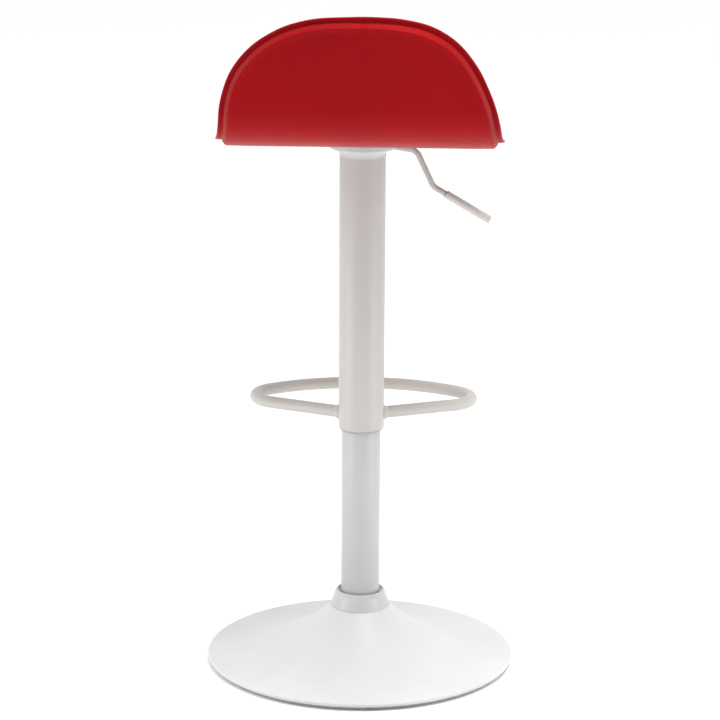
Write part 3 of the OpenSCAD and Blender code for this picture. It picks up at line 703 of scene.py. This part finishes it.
def make_welds(bar_r, z):
    """A rippled bead of weld round each end of the footrest, run down to the tube's wall."""
    tube_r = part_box("cover_tube")[1].x
    around, ripples = 64, 9
    bead_h, bead_l, spread = 2.4 * MM, 3.2 * MM, 3.0 * MM
    bm = bmesh.new()
    for side in (1, -1):
        rows = []
        for k in range(around):
            a = 2 * math.pi * k / around
            ripple = 0.22 * MM * math.sin(ripples * a + side)
            row = []
            for t in np.linspace(0.0, 1.0, 7):
                along = 0.2 * MM + t * (bead_l + ripple)
                r = bar_r - 0.1 * MM + (bead_h + ripple) * (1 - t) ** 1.6
                across, up = r * math.cos(a), r * math.sin(a)
                x = FOOT_START[0] + along * math.cos(FOOT_ANGLE) - across * math.sin(FOOT_ANGLE)
                y = FOOT_START[1] + along * math.sin(FOOT_ANGLE) + across * math.cos(FOOT_ANGLE)
                floor_r = tube_r - 0.3 * MM + t * (spread + ripple)
                if t == 0.0 or math.hypot(x, y) < floor_r:
                    x = math.sqrt(max(floor_r**2 - y**2, 0.0))
                row.append(bm.verts.new((side * x, y, z + up)))
            rows.append(row)
        grid_faces(bm, rows, closed_across=False, closed_along=True)
        bm.faces.new([row[-1] for row in rows])
        bm.faces.new([row[0] for row in rows])
    finish_mesh("weld_beads", bm, "paint_cover", "carriage", sharp_deg=60, replaces=["footrest_welds"])


# ---------------------------------------------------------------- lever

# The rod slopes gently to the elbow, bends steeply down to the knee, and ends in the drooping grip.
LEVER_DROP, LEVER_DROOP = math.radians(8.9), math.radians(30.5)
ELBOW = np.array((69.5, 694.7)) * MM
KNEE = np.array((91.6, 647.5)) * MM
ROD_R = 3.75 * MM
GRIP_START, GRIP_L, GRIP_R = 19.0 * MM, 67.0 * MM, 5.2 * MM


def bent_line(corners, radii, per_bend=12):
    """Points along straight runs with round bends, in a plane, from corner points (x, z)."""
    points = [corners[0]]
    for before, corner, after, r in zip(corners, corners[1:], corners[2:], radii):
        d0 = (corner - before) / np.linalg.norm(corner - before)
        d1 = (after - corner) / np.linalg.norm(after - corner)
        turn = math.atan2(d0[0] * d1[1] - d0[1] * d1[0], float(d0 @ d1))
        entry = corner - r * math.tan(abs(turn) / 2) * d0
        centre = entry + math.copysign(r, turn) * np.array((-d0[1], d0[0]))
        x, z = entry - centre
        for a in np.linspace(0.0, turn, per_bend + 1):
            points.append(centre + (x * math.cos(a) - z * math.sin(a), x * math.sin(a) + z * math.cos(a)))
    points.append(corners[-1])
    return points


def make_lever():
    """The bent rod, from inside the column to the grip."""
    inner_x, tail_gap, step = -4.0 * MM, 5.0 * MM, 6.0 * MM
    inner = on_circle(ELBOW, (ELBOW[0] - inner_x) / math.cos(LEVER_DROP), math.pi - LEVER_DROP)
    tail = on_circle(KNEE, GRIP_START + GRIP_L - tail_gap, -LEVER_DROOP)
    flat = bent_line([inner, ELBOW, KNEE, tail], [16.0 * MM, 18.0 * MM])
    points = []
    for a, b in zip(flat, flat[1:]):
        count = max(1, int(np.linalg.norm(b - a) / step))
        points += [a + (b - a) * i / count for i in range(count)]
    points.append(flat[-1])
    line = [(float(p[0]), 0.0, float(p[1])) for p in points]
    radii = [ROD_R - 0.5 * MM] + [ROD_R] * (len(line) - 1)
    bm = sweep(line, radii, sides=28, up=(0.0, 1.0, 0.0))
    finish_mesh("lever_bar", bm, "paint_cover", "lever", replaces=["lever_rod"])


def make_lever_eye():
    """The eye round the pivot pin, its axis along Y."""
    eye_r, hole_r, half_w, chamfer = 5.5 * MM, 2.06 * MM, 3.5 * MM, 0.5 * MM
    profile = [
        (hole_r, -half_w),
        (eye_r - chamfer, -half_w),
        (eye_r, -half_w + chamfer),
        (eye_r, half_w - chamfer),
        (eye_r - chamfer, half_w),
        (hole_r, half_w),
    ]
    bm = spin(profile, 48)
    bmesh.ops.rotate(bm, verts=bm.verts, matrix=Matrix.Rotation(math.pi / 2, 3, "X"))
    bmesh.ops.translate(bm, verts=bm.verts, vec=Vector(LEVER_PIVOT))
    finish_mesh("lever_eye", bm, "paint_cover", "lever", sharp_deg=25)


def make_grip():
    """The slip-on sleeve: three grooves by its mouth and a rounded end."""
    bore = ROD_R + 0.05 * MM
    mouth_r, end_r, end_t = 0.6 * MM, 1.4 * MM, 3.0 * MM
    groove, groove_pitch = 0.22 * MM, 2.2 * MM
    end = GRIP_START + GRIP_L
    profile = [(bore, GRIP_START)]
    profile += round_corner((GRIP_R - mouth_r, GRIP_START + mouth_r), mouth_r, -90, 0, 4)
    for k in range(3):
        z = GRIP_START + 4.0 * MM + groove_pitch * k
        floor_r = GRIP_R - groove
        profile += [(GRIP_R, z), (floor_r, z + 0.35 * MM), (floor_r, z + 0.65 * MM), (GRIP_R, z + MM)]
    profile += round_corner((GRIP_R - end_r, end - end_r), end_r, 0, 90, 6)
    profile += [(0.0, end), (0.0, end - end_t), (bore, end - end_t)]
    bm = spin(profile, 48)
    bmesh.ops.rotate(bm, verts=bm.verts, matrix=Matrix.Rotation(math.pi / 2 + LEVER_DROOP, 3, "Y"))
    bmesh.ops.translate(bm, verts=bm.verts, vec=Vector((KNEE[0], 0.0, KNEE[1])))
    finish_mesh("grip_sleeve", bm, "grip_plastic", "lever", replaces=["lever_grip"])


# ---------------------------------------------------------------- seat surface

SEAT_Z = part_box("seat_plate")[1].z
HALF_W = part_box("seat_seam_flange")[1].x
BACK_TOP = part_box("seat_seam_flange")[1].z
FRONT_Y = 185.0 * MM
BEND_R = 80.0 * MM
BEND_Y = 85.0 * MM
LEAN = math.radians(12.0)
DOME_Z = 730.0 * MM
DOME_FOOT_Z = 764.0 * MM
CORNER_Z = 727.0 * MM
CORNER_FLARE = 5.0 * MM
WATERFALL_Y = 130.0 * MM
WATERFALL_R = 180.0 * MM
PLAN_Y = -95.0 * MM
PLAN_NARROW = 4.0 * MM
DOME_POWER = 2.9
PLAN_POWER = 2.6
CROWN_LEAN = 3.4 * MM
FLANGE_IN = 8.0 * MM
FLANGE_T = 3.5 * MM
SEAM_DEPTH = FLANGE_IN + FLANGE_T / 2
BEND_L = BEND_R * (math.pi / 2 - LEAN)
FLAT_L = BEND_Y + WATERFALL_Y


def smooth_bump(x, centre, width):
    """A smooth hump of height one."""
    return np.exp(-(((x - centre) / width) ** 2))


def crown_shift(s):
    """Sideways lean of a hand-fitted back: fuller on the left half-way up, its peak to the right."""
    up = np.clip(s / TOP_S, 0.0, 1.0)
    return CROWN_LEAN * (up**8 - smooth_bump(up, 0.66, 0.2))


def seat_point(x, s, depth):
    """Points on the seat, and normals: x across, s along its outer face from the bend's start, depth in."""
    x, s, depth = np.broadcast_arrays(*(np.asarray(v, float) for v in (x, s, depth)))
    x = x + crown_shift(s)
    y = -BEND_Y - s
    z = SEAT_Z + depth
    ny, nz = np.zeros_like(s), np.ones_like(s)

    front = s < -FLAT_L
    a = (-s - FLAT_L) / WATERFALL_R
    y = np.where(front, WATERFALL_Y + (WATERFALL_R + depth) * np.sin(a), y)
    z = np.where(front, SEAT_Z - WATERFALL_R + (WATERFALL_R + depth) * np.cos(a), z)
    ny, nz = np.where(front, np.sin(a), ny), np.where(front, np.cos(a), nz)

    phi = np.clip(s, 0.0, BEND_L) / BEND_R
    bend = s > 0
    by = -BEND_Y - (BEND_R - depth) * np.sin(phi)
    bz = SEAT_Z + BEND_R - (BEND_R - depth) * np.cos(phi)
    past = np.maximum(s - BEND_L, 0.0)
    y = np.where(bend, by - past * math.sin(LEAN), y)
    z = np.where(bend, bz + past * math.cos(LEAN), z)
    ny, nz = np.where(bend, np.sin(phi), ny), np.where(bend, np.cos(phi), nz)
    return np.stack([x, y, z], -1), np.stack([np.zeros_like(ny), ny, nz], -1)


def along_at_height(z):
    """Place along the seat of a height on the back, at the seam's depth."""
    r = BEND_R - SEAM_DEPTH
    bend_top = SEAT_Z + BEND_R - r * math.sin(LEAN)
    if z >= bend_top:
        return BEND_L + (z - bend_top) / math.cos(LEAN)
    return BEND_R * math.acos(min(1.0, (SEAT_Z + BEND_R - z) / r))


TOP_S = along_at_height(BACK_TOP)


def along_at_reach(y):
    """Place along the seat of a distance in front of the column, at the seam's depth."""
    if y <= WATERFALL_Y:
        return -BEND_Y - y
    return -FLAT_L - WATERFALL_R * math.asin((y - WATERFALL_Y) / (WATERFALL_R + SEAM_DEPTH))


def half_outline(steps=400):
    """Right half of the sewn edge as points (x, s), from the top of the back to the front edge."""
    height = BACK_TOP - DOME_Z
    foot_angle = math.asin((DOME_FOOT_Z - DOME_Z) / height)
    points = []
    for a in np.linspace(math.pi / 2, foot_angle, steps):
        x = (HALF_W - CORNER_FLARE) * max(math.cos(a), 0.0) ** (2 / DOME_POWER)
        points.append((x, along_at_height(DOME_Z + height * math.sin(a))))
    points.append((HALF_W, along_at_height(CORNER_Z)))
    for a in np.linspace(0.0, math.pi / 2, steps):
        x = (HALF_W - PLAN_NARROW) * max(math.cos(a), 0.0) ** (2 / PLAN_POWER)
        points.append((x, along_at_reach(PLAN_Y + (FRONT_Y - PLAN_Y) * math.sin(a) ** (2 / PLAN_POWER))))
    return np.array(points)


def seat_outline(count=360):
    """The whole sewn edge: even points (x, s) from the top of the back, their normals, and its length."""
    half = half_outline()
    loop = np.concatenate([half, (half * (-1, 1))[::-1][1:-1]])
    closed = np.concatenate([loop, loop[:1]])
    lengths = np.concatenate([[0.0], np.cumsum(np.linalg.norm(np.diff(closed, axis=0), axis=1))])
    even = np.linspace(0.0, lengths[-1], count, endpoint=False)
    points = np.stack([np.interp(even, lengths, closed[:, k]) for k in (0, 1)], -1)
    for _ in range(3):
        points = (np.roll(points, 1, 0) + 2 * points + np.roll(points, -1, 0)) / 4
    tangent = np.roll(points, -1, 0) - np.roll(points, 1, 0)
    tangent /= np.linalg.norm(tangent, axis=1, keepdims=True)
    normal = np.stack([-tangent[:, 1], tangent[:, 0]], -1)
    if float((normal * points).sum()) < 0:
        normal = -normal
    return points, normal, lengths[-1]


EDGE, EDGE_NORMAL, EDGE_LENGTH = seat_outline()
SEAT_MIDDLE = np.array((0.0, -60.0 * MM))


def inset_loop(margin):
    """The sewn edge's outline, drawn in by a margin."""
    return EDGE - EDGE_NORMAL * margin


RINGS = 30


def shell_rows(bm, sections, last_depth=0.0, crown=None):
    """Rows of vertices from the edge to the middle. sections are (margin, depth) near the edge."""
    rows = []

    def add_row(flat, depth):
        place, _ = seat_point(flat[:, 0], flat[:, 1], depth)
        rows.append([bm.verts.new(p) for p in place])

    for margin, depth in sections:
        add_row(inset_loop(margin), depth)
    rim = inset_loop(sections[-1][0])
    for k in range(1, RINGS):
        flat = SEAT_MIDDLE + (rim - SEAT_MIDDLE) * (1 - k / RINGS)
        add_row(flat, crown(flat) if crown else last_depth)
    middle_depth = float(crown(SEAT_MIDDLE[None, :])[0]) if crown else last_depth
    centre = bm.verts.new(seat_point(0.0, SEAT_MIDDLE[1], middle_depth)[0])
    return rows, centre


def fan(bm, ring, centre):
    """Triangles from a ring of vertices to the one in its middle."""
    for i, v in enumerate(ring):
        bm.faces.new([v, ring[(i + 1) % len(ring)], centre])


# ---------------------------------------------------------------- seat pieces

PANEL_MARGIN = 7.4 * MM
PANEL_T = 1.2 * MM
WALL_RUN = 5.0 * MM
WALL_RISE = 8.9 * MM
PAD_T = 28.0 * MM
PAD_BASE = FLANGE_IN + FLANGE_T + 0.1 * MM


def close_shell(bm, outer, centre, inner, inner_centre):
    """Faces of a closed skin from two sets of rows that share their first ring."""
    grid_faces(bm, outer, closed_across=True, closed_along=False)
    grid_faces(bm, inner, closed_across=True, closed_along=False)
    grid_faces(bm, [outer[0], inner[0]], closed_across=True, closed_along=False)
    fan(bm, outer[-1], centre)
    fan(bm, inner[-1], inner_centre)


def rear_cover_edge():
    """Section of the rear cover from the seam up a bellied wall to a proud crest, then down to the panel."""
    seam = FLANGE_IN + 0.2 * MM
    foot = seam - 0.15 * MM
    edge = [(PANEL_MARGIN - 0.9 * MM, seam), (PANEL_MARGIN, foot)]
    for t in np.linspace(0.0, 1.0, 8)[1:]:
        belly = 0.4 * MM * math.sin(math.pi * t)
        edge.append((PANEL_MARGIN + WALL_RUN * t - belly, foot - WALL_RISE * t - belly))
    crest, top = PANEL_MARGIN + WALL_RUN, foot - WALL_RISE
    edge += [
        (crest + 1.0 * MM, top - 0.15 * MM),
        (crest + 2.2 * MM, top + 0.12 * MM),
        (crest + 4.2 * MM, top + 0.75 * MM),
        (crest + 7.0 * MM, 0.12 * MM),
        (crest + 11.0 * MM, 0.22 * MM),
        (crest + 18.0 * MM, 0.05 * MM),
        (crest + 26.0 * MM, 0.0),
    ]
    return edge


def make_rear_cover():
    """The taut rear cover: it rises from the seam over the board's edge to a smooth panel."""
    up_the_bend = np.clip(EDGE[:, 1] / BEND_L, 0.0, 1.0) ** 2
    count = len(EDGE)
    top = np.argmin(np.hypot(EDGE[:, 0], EDGE[:, 1] - EDGE[:, 1].max()))
    run = ((np.arange(count) - top + count // 2) % count - count // 2) * EDGE_LENGTH / count

    def sewn(margin, depth):
        """Depth round the edge: proud on the back, rounder below it, with a gathered crease at the top."""
        slack = 1.3 * MM * (1 - up_the_bend) * smooth_bump(margin, PANEL_MARGIN + WALL_RUN, 4 * MM)
        proud = min(depth, 0.0) * (up_the_bend - 1)
        pinch = 2.4 * MM * smooth_bump(run, 4.0 * MM, 4.5 * MM)
        pinch *= smooth_bump(margin, PANEL_MARGIN + 5 * MM, 6 * MM)
        wander = 0.22 * MM * np.sin(run / (23.0 * MM)) * smooth_bump(margin, PANEL_MARGIN + 3 * MM, 6 * MM)
        return depth + proud + slack + pinch + wander

    bm = bmesh.new()
    edge = rear_cover_edge()
    outer, centre = shell_rows(bm, [(m, sewn(m, d)) for m, d in edge])
    inner_edge = [(m + 0.9 * MM, d + PANEL_T) for m, d in edge]
    inner, inner_centre = shell_rows(bm, inner_edge, last_depth=PANEL_T)
    close_shell(bm, outer, centre, inner, inner_centre)
    stands_for = ["seat_cover_back", "rear_padding"]
    finish_mesh("rear_cover", bm, "leather_red", "carriage", sharp_deg=50, replaces=stands_for)


def make_seam_flange():
    """Two layers of cover sewn together round the edge: a little wavy, dented along the stitching, and
    pulled out at the corners."""
    outer_d, inner_d = FLANGE_IN + 0.1 * MM, FLANGE_IN + FLANGE_T
    mid = (outer_d + inner_d) / 2
    width = 9.2 * MM
    section = [(width, outer_d), (width * 0.75, outer_d), (width * 0.5, outer_d + 0.35 * MM)]
    section += [(width * 0.28, outer_d), (width * 0.12, outer_d), (0.25 * MM, outer_d + 0.45 * MM)]
    section += [(0.0, outer_d + 1.0 * MM), (0.1 * MM, mid - 0.3 * MM), (0.75 * MM, mid)]
    section += [(margin, outer_d + inner_d - depth) for margin, depth in section[-2::-1]]
    run = 2 * math.pi * np.arange(len(EDGE)) / len(EDGE)
    ripple = np.sin(17 * run + 0.6) * 0.5 + np.sin(31 * run + 2.0) * 0.3 + np.sin(7 * run) * 0.4
    wave_out = 0.35 * MM * ripple
    wave_depth = 0.30 * MM * (np.sin(23 * run + 1.0) * 0.5 + np.sin(41 * run) * 0.3)
    corner = np.abs(EDGE[:, 0]) > HALF_W - 6.0 * MM
    wave_out += 1.4 * MM * corner * smooth_bump(EDGE[:, 1], along_at_height(CORNER_Z), 4.0 * MM)
    bm = bmesh.new()
    rows = []
    for margin, depth in section:
        loose = 1 - margin / width
        flat = EDGE - EDGE_NORMAL * (margin + 0.35 * MM - wave_out * loose)[:, None]
        place, _ = seat_point(flat[:, 0], flat[:, 1], depth + wave_depth * loose)
        rows.append([bm.verts.new(p) for p in place])
    grid_faces(bm, rows, closed_across=True, closed_along=True)
    finish_mesh("sewn_edge", bm, "leather_red", "carriage", sharp_deg=75, replaces=["seat_seam_flange"])


STITCH_MARGIN = 4.2 * MM
STITCH_PITCH = 5.0 * MM
STITCH_L = 3.7 * MM
THREAD_R = 0.36 * MM


def add_stitch(bm, line, run, centre, face_depth, outward):
    """One stitch: a short bowed thread whose ends dip into the cover. run is the length along line."""
    sides, steps = 6, 6
    skew = RNG.uniform(-0.12, 0.12) * MM
    places = np.linspace(-STITCH_L / 2, STITCH_L / 2, steps + 1)
    at = (centre + places) % run[-1]
    flat = np.stack([np.interp(at, run, line[:, c]) for c in (0, 1)], -1)
    share = places / (STITCH_L / 2)
    lift = (0.30 * (1 - share**2) - 0.30 * share**6) * MM
    spine, normal = seat_point(flat[:, 0] + skew * share, flat[:, 1], face_depth + outward * lift)
    tangent = np.gradient(spine, axis=0)
    rows = []
    for p, n, t, s in zip(spine, normal, tangent, share):
        n, t = Vector(n), Vector(t).normalized()
        b = t.cross(n)
        r = float(THREAD_R * (1 - 0.35 * s**4))
        turns = [2 * math.pi * j / sides for j in range(sides)]
        rows.append([bm.verts.new(Vector(p) + r * (math.cos(a) * b + math.sin(a) * n)) for a in turns])
    grid_faces(bm, rows, closed_across=True, closed_along=False)
    bm.faces.new(rows[0])
    bm.faces.new(rows[-1])


def make_stitches():
    """One thread stitch after another round the sewn edge, on both faces."""
    bm = bmesh.new()
    line = inset_loop(STITCH_MARGIN)
    line = np.concatenate([line, line[:1]])
    run = np.concatenate([[0.0], np.cumsum(np.linalg.norm(np.diff(line, axis=0), axis=1))])
    count = int(run[-1] / STITCH_PITCH)
    pitch = run[-1] / count
    for face_depth, outward in ((FLANGE_IN + 0.35 * MM, -1.0), (FLANGE_IN + FLANGE_T - 0.25 * MM, 1.0)):
        for k in range(count):
            centre = (k + 0.5) * pitch + RNG.uniform(-0.2, 0.2) * MM
            add_stitch(bm, line, run, centre, face_depth, outward)
    finish_mesh("seam_stitches", bm, "leather_red", "carriage", sharp_deg=80, material="thread")


def pad_crown(flat):
    """Depth of the pad's sitting face at points (x, s), with a slight hollow where the sitter rests."""
    hollow = 1.6 * MM * smooth_bump(flat[:, 1], -110 * MM, 80 * MM) * smooth_bump(flat[:, 0], 0.0, 110 * MM)
    return PAD_T + 1.2 * MM - hollow


def make_pad():
    """The padded front cover: a crowned cushion over foam that rolls down to the sewn edge."""
    bm = bmesh.new()
    start = PANEL_MARGIN + 0.6 * MM
    edge = [
        (start + 2.0 * MM, PAD_BASE),
        (start, PAD_BASE + 0.3 * MM),
        (start - 1.2 * MM, PAD_BASE + 2.0 * MM),
        (start - 1.6 * MM, PAD_BASE + 5.0 * MM),
        (start - 0.6 * MM, PAD_BASE + 9.0 * MM),
        (start + 1.8 * MM, PAD_BASE + 12.8 * MM),
        (start + 5.5 * MM, PAD_BASE + 15.8 * MM),
        (start + 10.5 * MM, PAD_BASE + 17.8 * MM),
        (start + 16.5 * MM, PAD_T + 0.5 * MM),
        (start + 24.0 * MM, PAD_T + 1.1 * MM),
    ]
    top, centre = shell_rows(bm, edge, crown=pad_crown)
    under, under_centre = shell_rows(bm, [(start + 4.0 * MM, PAD_BASE)], last_depth=PAD_BASE)
    close_shell(bm, top, centre, under, under_centre)
    stands_for = ["seat_cover_top", "seat_foam"]
    pad = finish_mesh("seat_pad", bm, "leather_red", "carriage", sharp_deg=180, replaces=stands_for)
    swell(pad)


def vertex_places(mesh):
    """The places of a mesh's vertices, as an array."""
    places = np.empty(len(mesh.vertices) * 3)
    mesh.vertices.foreach_get("co", places)
    return places.reshape(-1, 3)


def height_over_seam(places):
    """How far points stand in from the seat's outer face, worked out from its side line."""
    y, z = places[:, 1], places[:, 2]
    centre_y, centre_z = -BEND_Y, SEAT_Z + BEND_R
    lean = np.array((-math.cos(LEAN), -math.sin(LEAN)))
    away = np.hypot(y - centre_y, z - centre_z)
    angle = np.arctan2(-(y - centre_y), -(z - centre_z))
    on_back = BEND_R - ((y - centre_y) * lean[0] + (z - centre_z) * lean[1])
    depth = np.where(angle < 0.0, z - SEAT_Z, BEND_R - away)
    depth = np.where(angle > math.pi / 2 - LEAN, on_back, depth)
    front = y > WATERFALL_Y
    return np.where(front, np.hypot(y - WATERFALL_Y, z - SEAT_Z + WATERFALL_R) - WATERFALL_R, depth)


VOXEL = 4.5 * MM
PRESSURE = 4.0
SPARE_CLOTH = -0.035
SIM_FRAMES = 20
SWELL_CAP = 3.0 * MM


def add_cloth(cover, held_group):
    """Cloth settings of the pad's cover: stout coated fabric, blown up a little over the foam."""
    modifier = cover.modifiers.new("cloth", "CLOTH")
    cloth = modifier.settings
    cloth.quality = 5
    cloth.mass = 0.25
    cloth.tension_stiffness = 25.0
    cloth.compression_stiffness = 25.0
    cloth.shear_stiffness = 8.0
    cloth.bending_stiffness = 0.6
    cloth.use_pressure = True
    cloth.uniform_pressure_force = PRESSURE
    cloth.shrink_min = SPARE_CLOTH
    cloth.vertex_group_mass = held_group
    cloth.effector_weights.gravity = 0.0
    modifier.collision_settings.use_collision = False
    modifier.point_cache.frame_start = 1
    modifier.point_cache.frame_end = SIM_FRAMES


def swell(pad):
    """Cloth simulation of the pad's cover: it swells over the foam, held underneath and along the seam."""
    remesh = pad.modifiers.new("remesh", "REMESH")
    remesh.mode = "VOXEL"
    remesh.voxel_size = VOXEL
    mesh = evaluated_mesh(pad)
    pad.modifiers.clear()
    cover = add_object("pad_cloth", mesh)
    rest = vertex_places(mesh)
    held = cover.vertex_groups.new(name="held")
    for i in np.flatnonzero(height_over_seam(rest) < PAD_BASE + 3.0 * MM):
        held.add([int(i)], 1.0, "REPLACE")
    add_cloth(cover, held.name)

    scene = bpy.context.scene
    for number in range(1, SIM_FRAMES + 1):
        scene.frame_set(number)
    swollen = evaluated_mesh(cover)
    moved = vertex_places(swollen) - rest
    length = np.linalg.norm(moved, axis=1)
    share = np.minimum(1.0, SWELL_CAP * np.tanh(length / SWELL_CAP) / np.maximum(length, 1e-9))
    swollen.vertices.foreach_set("co", (rest + moved * share[:, None]).ravel())
    swollen.update()
    scene.frame_set(1)
    bpy.data.objects.remove(cover)

    for polygon in swollen.polygons:
        polygon.use_smooth = True
    swollen.materials.clear()
    swollen.materials.append(MATERIALS["leather_red"])
    pad.data = swollen
    smooth = pad.modifiers.new("subdivision", "SUBSURF")
    smooth.levels = 1
    smooth.render_levels = 1


# ---------------------------------------------------------------- the whole object

make_camera()
make_floor()
make_lights()
dress_cad_nodes()
make_base_dish()
make_rubber_ring()
make_collar()
make_tubes()
make_flared_collar()
make_slide_ring()
make_footrest()
make_lever()
make_lever_eye()
make_grip()
make_rear_cover()
make_seam_flange()
make_stitches()
make_pad()
